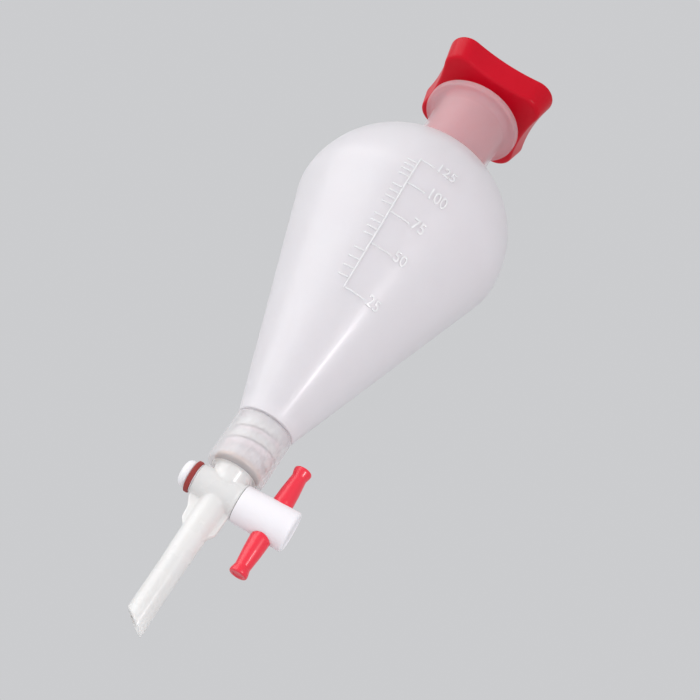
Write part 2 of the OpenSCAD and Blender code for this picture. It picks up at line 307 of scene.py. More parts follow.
def lathe(name, outline, material, closed=False, place=along_z, segments=144, sharp=40):
    """The outline of (radius, height) points turned round an axis. An open outline ends on the axis."""
    verts, faces, rings = [], [], []
    for r, height in outline:
        if r < 1e-6:
            rings.append([len(verts)] * segments)
            verts.append(place(0, height, 0))
            continue
        rings.append([len(verts) + k for k in range(segments)])
        verts += [place(r, height, 2 * math.pi * k / segments) for k in range(segments)]
    pairs = list(zip(rings, rings[1:] + rings[:1])) if closed else list(zip(rings, rings[1:]))
    for low, high in pairs:
        for k in range(segments):
            n = (k + 1) % segments
            corners = list(dict.fromkeys([low[k], low[n], high[n], high[k]]))
            if len(corners) > 2:
                faces.append(corners)
    return finish_mesh(name, verts, faces, material, sharp)


def tube_mesh(name, loops, material, sharp=40):
    """A closed solid through loops of equally many points, capped at both ends."""
    count = len(loops[0])
    verts = [p for loop in loops for p in loop]
    faces = [list(range(count)), [(len(loops) - 1) * count + k for k in range(count)]]
    for i in range(len(loops) - 1):
        for k in range(count):
            n = (k + 1) % count
            faces.append([i * count + k, i * count + n, (i + 1) * count + n, (i + 1) * count + k])
    return finish_mesh(name, verts, faces, material, sharp)


# Helical ridges: steps per turn, the run-out at each end, and the section as shares of a ridge's size
RIDGE_STEPS = 60
RIDGE_FADE_STEPS = RIDGE_STEPS / 4
RIDGE_LOWEST = 0.2
RIDGE_SOFT = 0.18
RIDGE_FLANK = 0.08
RIDGE_FLAT = 0.3


def ridge(name, root_r, crest_r, root_w, crest_w, pitch, turns, start, turn_deg, material, place=along_z):
    """A right-handed helical ridge with rounded crests that runs out at both ends."""
    count = round(turns * RIDGE_STEPS)
    flank = RIDGE_FLANK * root_w
    loops = []
    for i in range(count + 1):
        fade = min(1, RIDGE_LOWEST + (1 - RIDGE_LOWEST) * min(i, count - i) / RIDGE_FADE_STEPS)
        crest = root_r + (crest_r - root_r) * fade
        soft = (crest_r - root_r) * RIDGE_SOFT * fade
        turn = math.radians(turn_deg) + 2 * math.pi * i / RIDGE_STEPS
        height = start + pitch * i / RIDGE_STEPS
        section = [
            (root_r, -root_w / 2),
            (crest - soft, -crest_w / 2 - flank),
            (crest, -crest_w * RIDGE_FLAT),
            (crest, crest_w * RIDGE_FLAT),
            (crest - soft, crest_w / 2 + flank),
            (root_r, root_w / 2),
        ]
        if place is along_x:
            turn = -turn + math.pi / 2
        loops.append([place(r, height + rise, turn) for r, rise in section])
    return tube_mesh(name, loops, material, sharp=50)


def between_turns(z, mate_z, pitch):
    """The turn in degrees that starts a ridge at z midway between the turns of its mate."""
    return 360 * ((z - mate_z) / pitch - 0.5)


def shift_x(piece, x):
    """Moves a new piece's mesh along X, in millimetres."""
    for vertex in piece.data.vertices:
        vertex.co.x += x * MM


def set_materials(piece, *materials):
    """Gives a piece just these materials, with the first one on every face."""
    piece.data.materials.clear()
    for material in materials:
        piece.data.materials.append(material)


def join(name, pieces):
    """One object from several, under the first one's material."""
    bpy.ops.object.select_all(action="DESELECT")
    for piece in pieces:
        piece.select_set(True)
    bpy.context.view_layer.objects.active = pieces[0]
    bpy.ops.object.join()
    pieces[0].name = name
    pieces[0].data.name = name
    return pieces[0]


def combine(target, cutters, operation):
    """Boolean of target with each cutter, which is then removed."""
    for cutter in cutters:
        step = target.modifiers.new("combine", "BOOLEAN")
        step.operation = operation
        step.solver = "EXACT"
        step.object = cutter
        apply_modifiers(target)
        bpy.data.objects.remove(cutter)
    return target


def apply_modifiers(piece):
    """Bakes the piece's modifiers into its mesh."""
    bpy.context.view_layer.update()
    graph = bpy.context.evaluated_depsgraph_get()
    baked = bpy.data.meshes.new_from_object(piece.evaluated_get(graph))
    piece.modifiers.clear()
    piece.data = baked


# --- Materials -------------------------------------------------------------------------------------


def node_of(tree, kind, **values):
    """A new shader node with its inputs or settings filled in."""
    node = tree.nodes.new(kind)
    for key, value in values.items():
        if key in node.inputs:
            node.inputs[key].default_value = value
        else:
            setattr(node, key, value)
    return node


def noise(tree, coords, scale, detail=3.0, roughness=0.5):
    """The grey value of a noise texture over the given coordinates."""
    node = node_of(tree, "ShaderNodeTexNoise", Scale=scale, Detail=detail, Roughness=roughness)
    tree.links.new(coords, node.inputs["Vector"])
    return node.outputs["Fac"]


NOISE_MIDDLE = (0.3, 0.7)
WAVE_SCALE = 60
WAVE_STRENGTH = 6.0
SKIN_DEPTH = 0.0002
PLASTIC_IOR = 1.49
COAT_ROUGHNESS = 0.15
SCATTER_TINT = (1.0, 0.92, 0.88)


def spread(tree, source, low, high):
    """Maps a noise's middle range to low..high."""
    node = node_of(tree, "ShaderNodeMapRange")
    node.inputs["From Min"].default_value, node.inputs["From Max"].default_value = NOISE_MIDDLE
    node.inputs["To Min"].default_value = low
    node.inputs["To Max"].default_value = high
    tree.links.new(source, node.inputs["Value"])
    return node.outputs["Result"]


def clouded(tree, coords, colour, tint, cloud_scale):
    """A base colour that drifts between colour and tint."""
    clouds = noise(tree, coords, cloud_scale, detail=4.0, roughness=0.55)
    mix = node_of(tree, "ShaderNodeMix", data_type="RGBA")
    mix.inputs["A"].default_value = (*colour, 1)
    mix.inputs["B"].default_value = (*tint, 1)
    tree.links.new(spread(tree, clouds, 0, 1), mix.inputs["Factor"])
    return mix.outputs["Result"]


def moulded_skin(tree, coords, grain, grain_scale):
    """The surface's bump: a fine grain over faint flow marks."""
    fine = noise(tree, coords, grain_scale, detail=2.0)
    waves = noise(tree, coords, WAVE_SCALE, detail=2.0)
    both = node_of(tree, "ShaderNodeMath", operation="MULTIPLY_ADD")
    both.inputs[1].default_value = WAVE_STRENGTH
    tree.links.new(waves, both.inputs[0])
    tree.links.new(fine, both.inputs[2])
    bump = node_of(tree, "ShaderNodeBump", Strength=grain, Distance=SKIN_DEPTH)
    tree.links.new(both.outputs[0], bump.inputs["Height"])
    return bump.outputs["Normal"]


def plastic(name, colour, tint, roughness=(0.3, 0.36), grain=0.02, grain_scale=900, cloud_scale=35,
            subsurface=0.0, radius=0.0015, alpha=1.0, coat=0.0, specular=0.5):
    """Moulded plastic: cloudy colour, patchy gloss, a fine skin grain and faint flow marks.

    Milky plastic scatters under its skin, and alpha lets what is behind it show through faintly.
    """
    material = bpy.data.materials.new(name)
    material.use_nodes = True
    tree = material.node_tree
    shader = tree.nodes["Principled BSDF"]
    coords = node_of(tree, "ShaderNodeTexCoord").outputs["Object"]
    patches = noise(tree, coords, cloud_scale * 3, detail=3.0, roughness=0.6)
    tree.links.new(clouded(tree, coords, colour, tint, cloud_scale), shader.inputs["Base Color"])
    tree.links.new(spread(tree, patches, *roughness), shader.inputs["Roughness"])
    tree.links.new(moulded_skin(tree, coords, grain, grain_scale), shader.inputs["Normal"])
    shader.inputs["Subsurface Weight"].default_value = subsurface
    shader.inputs["Subsurface Radius"].default_value = SCATTER_TINT
    shader.inputs["Subsurface Scale"].default_value = radius
    shader.inputs["Alpha"].default_value = alpha
    shader.inputs["IOR"].default_value = PLASTIC_IOR
    shader.inputs["Coat Weight"].default_value = coat
    shader.inputs["Coat Roughness"].default_value = COAT_ROUGHNESS
    shader.inputs["Specular IOR Level"].default_value = specular
    return material


flask_plastic = plastic("flask_plastic", (0.94, 0.895, 0.925), (0.92, 0.86, 0.895), (0.32, 0.4), 0.06,
                        subsurface=0.6, radius=0.004, alpha=0.8, coat=0.1)
# Painted light: the neck's pink colour stands in for red light from the stopper's plug glowing through the
# white wall; its low alpha lets the real plug show as well.
neck_red_glow_plastic = plastic("neck_red_glow_plastic", (0.93, 0.87, 0.9), (0.9, 0.83, 0.87), (0.32, 0.4), 0.06,
                       subsurface=0.6, radius=0.004, alpha=0.27, coat=0.1)
# Painted highlight: the scale is moulded in the flask's plastic, yet its colour is set whiter than the
# flask's so that the raised ribs and figures read as lit relief.
marks_lightened_plastic = plastic("marks_lightened_plastic", (0.97, 0.965, 0.975), (0.95, 0.94, 0.95), (0.25, 0.32), 0.03,
                        subsurface=0.3, radius=0.001, alpha=0.75, coat=0.3)
# Painted shade: the lower neck's thread is moulded in the flask's white plastic, but is coloured a darker
# pink for the shade inside the cup around it.
thread_shade_plastic = plastic("thread_shade_plastic", (0.88, 0.75, 0.79), (0.85, 0.71, 0.75), (0.3, 0.36), 0.04,
                         subsurface=0.4, radius=0.002)
housing_plastic = plastic("housing_plastic", (0.95, 0.935, 0.91), (0.93, 0.905, 0.875), (0.25, 0.32), 0.05,
                          subsurface=0.6, radius=0.003, alpha=0.8, coat=0.3)
cup_plastic = plastic("cup_plastic", (0.95, 0.92, 0.93), (0.93, 0.88, 0.9), (0.25, 0.32), 0.05,
                      subsurface=0.6, radius=0.003, alpha=0.36, coat=0.3)
stopper_plastic = plastic("stopper_plastic", (0.62, 0.005, 0.02), (0.52, 0.003, 0.014), (0.28, 0.34), 0.05,
                          subsurface=0.1, radius=0.001, specular=0.15)
handle_plastic = plastic("handle_plastic", (0.88, 0.025, 0.055), (0.8, 0.015, 0.04), (0.3, 0.38), 0.08,
                         subsurface=0.1, radius=0.001, coat=0.3)
plug_plastic = plastic("plug_plastic", (0.9, 0.885, 0.91), (0.87, 0.85, 0.88), (0.42, 0.5), 0.08,
                       subsurface=0.3, radius=0.001)
nut_plastic = plastic("nut_plastic", (0.9, 0.885, 0.91), (0.87, 0.86, 0.88), (0.35, 0.42), 0.08,
                      subsurface=0.4, radius=0.0015)
washer_rubber = plastic("washer_rubber", (0.36, 0.04, 0.035), (0.28, 0.025, 0.02), (0.5, 0.6), 0.2, 1500)
gasket_rubber = plastic("gasket_rubber", (0.6, 0.36, 0.24), (0.5, 0.3, 0.2), (0.6, 0.7), 0.2, 1500)

# --- Flask -----------------------------------------------------------------------------------------


def flask_outside():
    """The outer section, from the lower neck's end up to the socket's foot."""
    neck_r = socket_at(NECK_FOOT_H) + NECK_WALL
    turn = math.acos((neck_r + NECK_FILLET) / (BULB_R + NECK_FILLET))
    normal = Vector((math.cos(turn) / BULB_R, math.sin(turn) / DOME_H)).normalized()
    fillet_c = Vector((BULB_R * math.cos(turn), DOME_H * math.sin(turn))) + NECK_FILLET * normal
    foot = 180 + math.degrees(math.atan2(normal.y, normal.x))
    under = RIM_H - RIM_T
    neck_top_r = socket_at(under - NECK_TOP_DROP) + NECK_WALL
    cone_z = SHOULDER_Z + CONE_START_H
    shoulder = [
        (LOWER_NECK_R, SHOULDER_Z, 0),
        (CUP_R, SHOULDER_Z, SHOULDER_EDGE),
        (skin_at(cone_z), cone_z, 0),
    ]
    rim = [
        (fillet_c.x - NECK_FILLET, fillet_c.y, 0),
        (neck_top_r, under, RIM_FILLET),
        (RIM_R, under, RIM_EDGE_UNDER),
        (RIM_R, RIM_H, RIM_EDGE_OUTER),
        (SOCKET_R, RIM_H, RIM_EDGE_INNER),
        (socket_at(NECK_FOOT_H), NECK_FOOT_H, 0),
    ]
    out = [(LOWER_NECK_R - NECK_CHAMFER, NECK_END), (LOWER_NECK_R, NECK_END + NECK_CHAMFER)]
    out.append((LOWER_NECK_R, SHOULDER_Z))
    out += rounded(shoulder)[1:]
    out += arc(BULB_R - BLEND_R, 0, BLEND_R, -math.degrees(CONE), 0, steps=14)
    out += ellipse(BULB_R, DOME_H, MEET_DEG, math.degrees(turn), steps=48)
    out += arc(fillet_c.x, fillet_c.y, NECK_FILLET, foot, 180, steps=10)[1:]
    out += rounded(rim, steps=8)[1:]
    return out


def flask_inside():
    """The hollow's section, from the socket's foot down to the lower neck's end."""
    inner_r, inner_h = BULB_R - WALL, DOME_H - WALL
    foot_r = socket_at(SOCKET_FOOT_H)
    ease_z = SOCKET_FOOT_H + SOCKET_EASE_H
    dome_deg = math.degrees(math.acos(foot_r / inner_r))
    floor_z = SHOULDER_Z + FLOOR_H
    cone_z = floor_z + FLOOR_RUN
    funnel = [
        (skin_at(cone_z) - SLANT_WALL, cone_z, 0),
        (skin_at(floor_z) - SLANT_WALL, floor_z, FLOOR_ROUND),
        (LOWER_BORE_R, SHOULDER_Z + BORE_TOP_H, BORE_ROUND),
        (LOWER_BORE_R, NECK_END, 0),
    ]
    out = [(socket_at(ease_z), ease_z), (foot_r + SOCKET_STEP, SOCKET_FOOT_H + SOCKET_STEP_H)]
    out += ellipse(inner_r, inner_h, dome_deg - 2 * MEET_DEG, 0, steps=44)
    out += arc(BULB_R - BLEND_R, 0, BLEND_R - WALL, -MEET_DEG, -math.degrees(CONE), steps=13)
    out += rounded(funnel, steps=8)
    return out


# The raised scale: heights from the widest plane, and each long tick's length, by its figure
SCALE_LOW, SCALE_HIGH = -41.45, 1.55
SCALE_W = 0.6
MAJOR = {25: (-41.2, 7.0), 50: (-27.0, 7.0), 75: (-16.7, 6.8), 100: (-7.1, 6.2), 125: (1.3, 4.6)}
MINOR_LEN = 3.6
MINORS_BETWEEN = 4
TICK_GAP = 0.1
UPRIGHT_STEP = 0.8
LEVEL_STEP = 0.6
TICK_END_LIFT = 0.4
FIGURE_H = 3.2
CAP_TO_SIZE = 0.7
FIGURE_GAP = 0.4
FIGURE_RISE = 0.7
FIGURE_LIFT = 0.3
FIGURE_BEVEL = 0.05
FIGURE_BOLD = 0.03
FIGURE_SINK = 0.02
FIGURE_EDGE = 0.7
SAME_POINT = 1e-4
SLOPE_STEP = 0.05


def on_skin(u, z, lift):
    """The point at length u round from the scale's base line, which faces -Y, and lift above the skin."""
    r = skin_at(z)
    turn = -math.pi / 2 + u / r
    slope = (skin_at(z + SLOPE_STEP) - skin_at(z - SLOPE_STEP)) / (2 * SLOPE_STEP)
    out = Vector((1, -slope)).normalized() * lift
    return along_z(r + out.x, z + out.y, turn)


# A rib's section: place across it, in widths, and lift above the skin
RIB = [(-0.5, -0.3), (-0.5, 0.1), (-0.28, 0.3), (0, 0.34), (0.28, 0.3), (0.5, 0.1), (0.5, -0.3)]


def upright_rib(name, low, high):
    """The scale's base line, up the skin."""
    steps = round((high - low) / UPRIGHT_STEP)
    loops = []
    for i in range(steps + 1):
        z = low + (high - low) * i / steps
        loops.append([on_skin(w * SCALE_W, z, lift) for w, lift in RIB])
    return tube_mesh(name, loops, marks_lightened_plastic, sharp=60)


def level_rib(name, z, left, right):
    """A tick round the skin, with low ends."""
    steps = max(3, round((right - left) / LEVEL_STEP))
    loops = []
    for i in range(steps + 1):
        u = left + (right - left) * i / steps
        end = TICK_END_LIFT if i in (0, steps) else 1
        loops.append([on_skin(u, z + w * SCALE_W, lift * end) for w, lift in RIB])
    return tube_mesh(name, loops, marks_lightened_plastic, sharp=60)


def flat_figures(name, text):
    """The figures as a flat raised mesh, in millimetres, fine enough to bend."""
    curve = bpy.data.curves.new(name, "FONT")
    curve.body = text
    curve.size = FIGURE_H / CAP_TO_SIZE
    curve.extrude = FIGURE_LIFT
    curve.bevel_depth = FIGURE_BEVEL
    curve.bevel_resolution = 1
    curve.offset = FIGURE_BOLD
    curve.align_y = "CENTER"
    curve.resolution_u = 6
    writing = bpy.data.objects.new("writing", curve)
    bpy.context.scene.collection.objects.link(writing)
    bpy.context.view_layer.update()
    mesh = bpy.data.meshes.new_from_object(writing.evaluated_get(bpy.context.evaluated_depsgraph_get()))
    bpy.data.objects.remove(writing)
    work = bmesh.new()
    work.from_mesh(mesh)
    bmesh.ops.remove_doubles(work, verts=work.verts, dist=SAME_POINT)
    bmesh.ops.triangulate(work, faces=[f for f in work.faces if len(f.verts) > 4])
    long_edges = [e for e in work.edges if e.calc_length() > FIGURE_EDGE]
    bmesh.ops.subdivide_edges(work, edges=long_edges, cuts=2)
    work.to_mesh(mesh)
    work.free()
    return mesh


def figures(text, z, tick_len):
    """Raised figures wrapped on to the skin, to the right of their tick."""
    name = "figures_" + text
    mesh = flat_figures(name, text)
    piece = bpy.data.objects.new(name, mesh)
    bpy.context.scene.collection.objects.link(piece)
    for vertex in mesh.vertices:
        x, y, h = vertex.co
        vertex.co = Vector(on_skin(tick_len + FIGURE_GAP + x, z + FIGURE_RISE + y, h - FIGURE_SINK))
        vertex.co.z += WIDEST
        vertex.co *= MM
    clean(piece)
    set_materials(piece, marks_lightened_plastic)
    return piece


def make_scale():
    """The raised base line with its ticks, and the figures."""
    marks = [upright_rib("line", SCALE_LOW, SCALE_HIGH)]
    marks += [level_rib("tick", z, TICK_GAP, length) for z, length in MAJOR.values()]
    heights = [z for z, _ in MAJOR.values()]
    for low, high in zip(heights, heights[1:]):
        for j in range(1, MINORS_BETWEEN + 1):
            z = low + (high - low) * j / (MINORS_BETWEEN + 1)
            marks.append(level_rib("tick", z, -MINOR_LEN, -TICK_GAP))
    marks = join("scale_marks", marks)
    numbers = join("scale_figures", [figures(str(value), z, length) for value, (z, length) in MAJOR.items()])
    return marks, numbers


def make_flask():
    """The moulding with its clearer neck, the lower neck's thread and the raised scale."""
    outline = flask_outside() + flask_inside()
    body = lathe("flask_moulding", outline, flask_plastic, closed=True, segments=192)
    body.data.materials.append(neck_red_glow_plastic)
    neck_from = (WIDEST + NECK_FOOT_H) * MM
    for face in body.data.polygons:
        if face.center.z > neck_from:
            face.material_index = 1
    thread = ridge("flask_thread", LOWER_NECK_R - RIDGE_SINK, CUP_BORE_R - THREAD_CLEAR, RIDGE_ROOT_W,
                   RIDGE_CREST_W, PITCH, NECK_RIDGE_TURNS, NECK_RIDGE_Z, 0, thread_shade_plastic)
    marks, numbers = make_scale()
    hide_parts("flask")
    for piece in (body, thread, marks, numbers):
        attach(piece, "flask")


# --- Stopper ---------------------------------------------------------------------------------------

HEAD_Z = RIM_H + 3.4
HEAD_TOP = stopper_high.z - WIDEST
HEAD_FLARE = 1.1
HEAD_TURN = math.radians(8)
HEAD_EDGE = 1.1
EASE_STEPS = 6
DISH = 0.5
DISH_EDGE = 0.08
LOBE_REACH = 16.5
LOBE_R = 6.0
WAIST_REACH = 16.6
PLUG_LOW = stopper_low.z - WIDEST
PLUG_CLEAR = 0.08
PLUG_WALL = 1.3
HOLLOW_RISE = 4.0
HOLLOW_LEAN = 1.5
HEAD_SINK = 0.3
TIP_EASE = 0.3


def lobed_loop(inset):
    """The head's outline, drawn in by inset: lobes and hollow sides that run smoothly together."""
    lobe_c = LOBE_REACH * math.cos(math.pi / 4)
    dip = WAIST_REACH - lobe_c
    side_r = (dip * dip + lobe_c * lobe_c - LOBE_R**2) / (2 * (LOBE_R - dip))
    half = math.degrees(math.asin(lobe_c / (side_r + LOBE_R)))
    quarter = arc(WAIST_REACH + side_r, 0, side_r + inset, 180 + half, 180 - half, 14)
    quarter += arc(lobe_c, lobe_c, LOBE_R - inset, -half, 90 + half, 22)[1:]
    loop = []
    for k in range(4):
        c, s = math.cos(k * math.pi / 2 + HEAD_TURN), math.sin(k * math.pi / 2 + HEAD_TURN)
        loop += [(x * c - y * s, x * s + y * c) for x, y in quarter[:-1]]
    return loop


def head_levels():
    """Heights of the head's rings from the bottom up, and how far the outline is drawn in at each."""
    ease = [math.radians(90 * k / EASE_STEPS) for k in range(EASE_STEPS + 1)]
    levels = [(HEAD_Z, 5.5), (HEAD_Z, 3.0)]
    levels += [(HEAD_Z + HEAD_EDGE * (1 - math.cos(a)), HEAD_EDGE * (1 - math.sin(a))) for a in ease]
    levels += [(HEAD_TOP - HEAD_EDGE * (1 - math.sin(a)), HEAD_EDGE * (1 - math.cos(a))) for a in ease]
    levels += [(HEAD_TOP, 2.0), (HEAD_TOP - DISH_EDGE, 2.5)]
    levels += [(HEAD_TOP - DISH + DISH_EDGE, 3.2), (HEAD_TOP - DISH, 3.8)]
    return levels


def stopper_head(hollow_r):
    """The lobed head with eased edges and a shallow dish on top, and the hollow's end in its underside."""
    loops = []
    for z, inset in head_levels():
        grow = 1 + (HEAD_FLARE - 1) * (z - HEAD_Z) / (HEAD_TOP - HEAD_Z)
        loops.append([(x * grow, y * grow, z) for x, y in lobed_loop(inset)])
    head = tube_mesh("stopper_head", loops, stopper_plastic, sharp=50)
    hollow_top = HEAD_Z + HOLLOW_RISE
    hollow = [(0, HEAD_Z - PAST), (hollow_r, HEAD_Z - PAST), (hollow_r, HEAD_Z),
              (hollow_r - HOLLOW_LEAN, hollow_top), (0, hollow_top)]
    combine(head, [lathe("bore", hollow, stopper_plastic)], "DIFFERENCE")
    set_materials(head, stopper_plastic)
    clean(head, sharp=50)
    return head


def make_stopper():
    """The lobed head, and the hollow tapered plug below it."""
    hollow_r = socket_at(HEAD_Z) - PLUG_WALL
    head = stopper_head(hollow_r)
    cone_top = HEAD_Z + HEAD_SINK
    tip_top = PLUG_LOW + 1
    outline = rounded([
        (hollow_r, cone_top, 0),
        (socket_at(PLUG_LOW) - PLUG_WALL, PLUG_LOW, 0.4),
        (socket_at(PLUG_LOW) - PLUG_CLEAR - TIP_EASE, PLUG_LOW, 0.35),
        (socket_at(tip_top) - PLUG_CLEAR, tip_top, 0.6),
        (socket_at(HEAD_Z) - PLUG_CLEAR, cone_top, 0),
    ])
    cone = lathe("stopper_cone", outline, stopper_plastic, closed=True)
    piece = join("stopper_moulding", [head, cone])
    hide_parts("stopper")
    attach(piece, "stopper")


# --- Connector and stopcock ------------------------------------------------------------------------


def make_gasket():
    """The flat sealing ring on the cup's floor."""
    low, high = gasket_low.z - WIDEST, gasket_high.z - WIDEST
    inner, outer = LOWER_BORE_R - GASKET_OVERLAP, CUP_BORE_R - GASKET_CLEAR
    places = [(inner, low), (outer, low), (outer, high), (inner, high)]
    ring = rounded([(r, z, GASKET_EDGE) for r, z in places], closed=True)
    piece = lathe("gasket_ring", ring, gasket_rubber, closed=True)
    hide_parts("connector_gasket")
    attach(piece, "gasket")


def cup_solid():
    """The threaded connector's outer shape."""
    outline = rounded([
        (0, CUP_BOTTOM, 0),
        (CUP_R, CUP_BOTTOM, CUP_ROUND),
        (CUP_R, CUP_TOP, CUP_EDGE),
        (0, CUP_TOP, 0),
    ])
    return lathe("housing_moulding", outline, housing_plastic)


def throat_solid():
    """The cone that carries the cup on the barrel."""
    top = CUP_BOTTOM + THROAT_RISE
    outline = [(0, BARREL_Z), (THROAT_LOW_R, BARREL_Z), (THROAT_TOP_R, top), (0, top)]
    return lathe("throat", outline, housing_plastic)


def barrel_solid():
    """The cross barrel, a little wider towards the plug's head, where it has a lip."""
    outline = rounded([
        (0, -BARREL_TAIL, 0),
        (BARREL_TAIL_R, -BARREL_TAIL, 0.3),
        (BARREL_NOSE_R, BARREL_NOSE - LIP_FOOT_W, 0.2),
        (LIP_R, BARREL_NOSE - LIP_W, 0.1),
        (LIP_R, BARREL_NOSE, 0.25),
        (0, BARREL_NOSE, 0),
    ])
    return lathe("barrel", outline, housing_plastic, place=along_x)


def stem_solid():
    """The outlet stem, straight at its lower end and a little conical above."""
    straight_top = TIP_Z + STEM_STRAIGHT + TIP_SLANT
    outline = [(0, TIP_Z), (STEM_R, TIP_Z), (STEM_R, straight_top), (STEM_ROOT_R, BARREL_Z), (0, BARREL_Z)]
    return lathe("stem", outline, housing_plastic)


def fins_solid():
    """The pair of fins between barrel and stem, as one flat plate through both."""
    edge = [
        (-FIN_TAIL_X, -FIN_ROOT_H),
        (-FIN_TAIL_X, -FIN_TAIL_H),
        (-FIN_SHOULDER_X, -FIN_SHOULDER_H),
        (-FIN_WAIST_X, -FIN_WAIST_H),
        (-FIN_FOOT_X, -FIN_FOOT_H),
        (FIN_FOOT_X, -FIN_FOOT_H),
        (FIN_WAIST_X, -FIN_WAIST_H),
        (FIN_SHOULDER_X, -FIN_ROOT_H),
    ]
    loops = [[(x, y, BARREL_Z + z) for x, z in edge] for y in (-FIN_T / 2, FIN_T / 2)]
    return tube_mesh("fins", loops, housing_plastic)


def tip_knife():
    """A block whose top face cuts the stem's tip to its slant."""
    back, reach, half = 6, 18, 9
    slant = math.atan2(TIP_SLANT, 2 * STEM_R)
    across = Vector((-math.cos(slant), 0, math.sin(slant)))
    down = Vector((-math.sin(slant), 0, -math.cos(slant))) * half
    near = Vector((STEM_R, 0, TIP_Z)) - across * back
    far = Vector((STEM_R, 0, TIP_Z)) + across * reach
    loops = [[(p.x, y, p.z) for p in (near, far, far + down, near + down)] for y in (-half, half)]
    return tube_mesh("knife", loops, housing_plastic)


def grow_together(piece):
    """Melts joined solids into one skin with soft inner corners."""
    grow = piece.modifiers.new("grow", "REMESH")
    grow.mode = "VOXEL"
    grow.voxel_size = HOUSING_VOXEL * MM
    apply_modifiers(piece)
    ease = piece.modifiers.new("ease", "CORRECTIVE_SMOOTH")
    ease.iterations = 12
    ease.factor = 0.6
    ease.use_only_smooth = True
    apply_modifiers(piece)


def housing_bores():
    """What is cut out: the cup's bore, the bore above the plug, the tapered seat and the stem's bore."""
    cup_end = CUP_TOP + 2 * PAST
    cup_bore = [(0, CUP_FLOOR), (CUP_BORE_R, CUP_FLOOR), (CUP_BORE_R, cup_end), (0, cup_end)]
    upper_end = CUP_FLOOR + PAST
    upper_bore = [(0, BARREL_Z), (UPPER_BORE_R, BARREL_Z), (UPPER_BORE_R, upper_end), (0, upper_end)]
    tail, nose = -BARREL_TAIL - PAST, BARREL_NOSE + PAST
    seat = [(0, tail), (fit_at(tail), tail), (fit_at(nose), nose), (0, nose)]
    fin_foot = BARREL_Z - FIN_FOOT_H
    tip = TIP_Z - PAST
    stem_bore = [
        (0, tip),
        (TIP_BORE_R, tip),
        (UPPER_BORE_R, fin_foot),
        (UPPER_BORE_R, BARREL_Z),
        (0, BARREL_Z),
    ]
    return [
        lathe("cup_hole", cup_bore, housing_plastic),
        lathe("upper_hole", upper_bore, housing_plastic),
        lathe("barrel_hole", seat, housing_plastic, place=along_x),
        lathe("stem_hole", stem_bore, housing_plastic),
    ]


def make_housing():
    """The cup, throat, barrel, fins and stem grown together, then bored out, with the cup's thread."""
    cup = cup_solid()
    combine(cup, [throat_solid(), barrel_solid(), stem_solid(), fins_solid()], "UNION")
    combine(cup, [tip_knife()], "DIFFERENCE")
    grow_together(cup)
    combine(cup, housing_bores(), "DIFFERENCE")
    set_materials(cup, housing_plastic, cup_plastic)
    clean(cup, sharp=45)
    cup_from = (WIDEST + CUP_BOTTOM) * MM
    for face in cup.data.polygons:
        if face.center.z > cup_from:
            face.material_index = 1
    turn_deg = between_turns(CUP_RIDGE_Z, NECK_RIDGE_Z, PITCH)
    thread = ridge("housing_thread", CUP_BORE_R + RIDGE_SINK, LOWER_NECK_R + THREAD_CLEAR, RIDGE_ROOT_W,
                   RIDGE_CREST_W, PITCH, CUP_RIDGE_TURNS, CUP_RIDGE_Z, turn_deg, housing_plastic)
    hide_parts("stopcock_housing")
    for piece in (cup, thread):
        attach(piece, "housing")


def upright_cutter(name, radius, segments):
    """A cylinder through the plug, along the funnel's axis."""
    low, high = BARREL_Z - CROSS_REACH, BARREL_Z + CROSS_REACH
    outline = [(0, low), (radius, low), (radius, high), (0, high)]
    return lathe(name, outline, plug_plastic, segments=segments)


def make_plug():
    """The tapered shaft with its big dished head, cross bore, handle hole and threaded tail."""
    head_x, end_x = BARREL_NOSE + PLUG_HEAD_GAP, plug_high.x
    start_x, tail_x = -BARREL_TAIL + PLUG_START, plug_low.x
    dish_x = end_x - PLUG_DISH
    outline = rounded([
        (0, tail_x, 0),
        (TAIL_R, tail_x, 0.3),
        (TAIL_R, start_x, 0.1),
        (fit_at(start_x) - PLUG_FIT_CLEAR, start_x, 0.25),
        (fit_at(head_x) - PLUG_FIT_CLEAR, head_x, 0),
        (PLUG_HEAD_R, head_x, 0.35),
        (PLUG_END_R, end_x, 0.8),
        (PLUG_DISH_OUTER, end_x, 0.1),
        (PLUG_DISH_INNER, dish_x, 0.15),
        (0, dish_x, 0),
    ])
    plug = lathe("plug_turned", outline, plug_plastic, place=along_x)
    cross = upright_cutter("cross", CROSS_BORE_R, segments=64)
    grip = upright_cutter("grip", HANDLE_R, segments=96)
    shift_x(grip, HANDLE_X)
    combine(plug, [cross, grip], "DIFFERENCE")
    set_materials(plug, plug_plastic)
    clean(plug)
    thread = ridge("plug_thread", TAIL_R - TAIL_SINK, TAIL_CREST_R, TAIL_RIDGE_ROOT_W, TAIL_RIDGE_CREST_W,
                   TAIL_PITCH, TAIL_TURNS, tail_x + TAIL_RIDGE_START, 0, plug_plastic, place=along_x)
    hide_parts("stopcock_plug")
    for piece in (plug, thread):
        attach(piece, "plug")


def make_handle():
    """The bar through the plug's head: each half swells, narrows to a neck and flares at its dished tip."""
    end = HANDLE_HALF
    upper = rounded([
        (HANDLE_R, 0, 0),
        (HANDLE_R, HANDLE_ROOT_H, 0),
        (HANDLE_SWELL_R, HANDLE_SWELL_H, 1.0),
        (HANDLE_WAIST_R, HANDLE_WAIST_H, 4.0),
        (HANDLE_NECK_R, end - HANDLE_NECK_DROP, 1.6),
        (HANDLE_FLARE_R, end - HANDLE_FLARE_DROP, 0.6),
        (HANDLE_FLARE_R, end, 0.45),
        (HANDLE_DISH_OUTER, end, 0.3),
        (HANDLE_DISH_INNER, end - HANDLE_DISH, 0.2),
        (0, end - HANDLE_DISH, 0),
    ])
    outline = [(r, BARREL_Z - z) for r, z in reversed(upper)] + [(r, BARREL_Z + z) for r, z in upper[1:]]
    piece = lathe("handle_bar", outline, handle_plastic, segments=96)
    shift_x(piece, HANDLE_X)
    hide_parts("plug_handle")
    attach(piece, "plug")


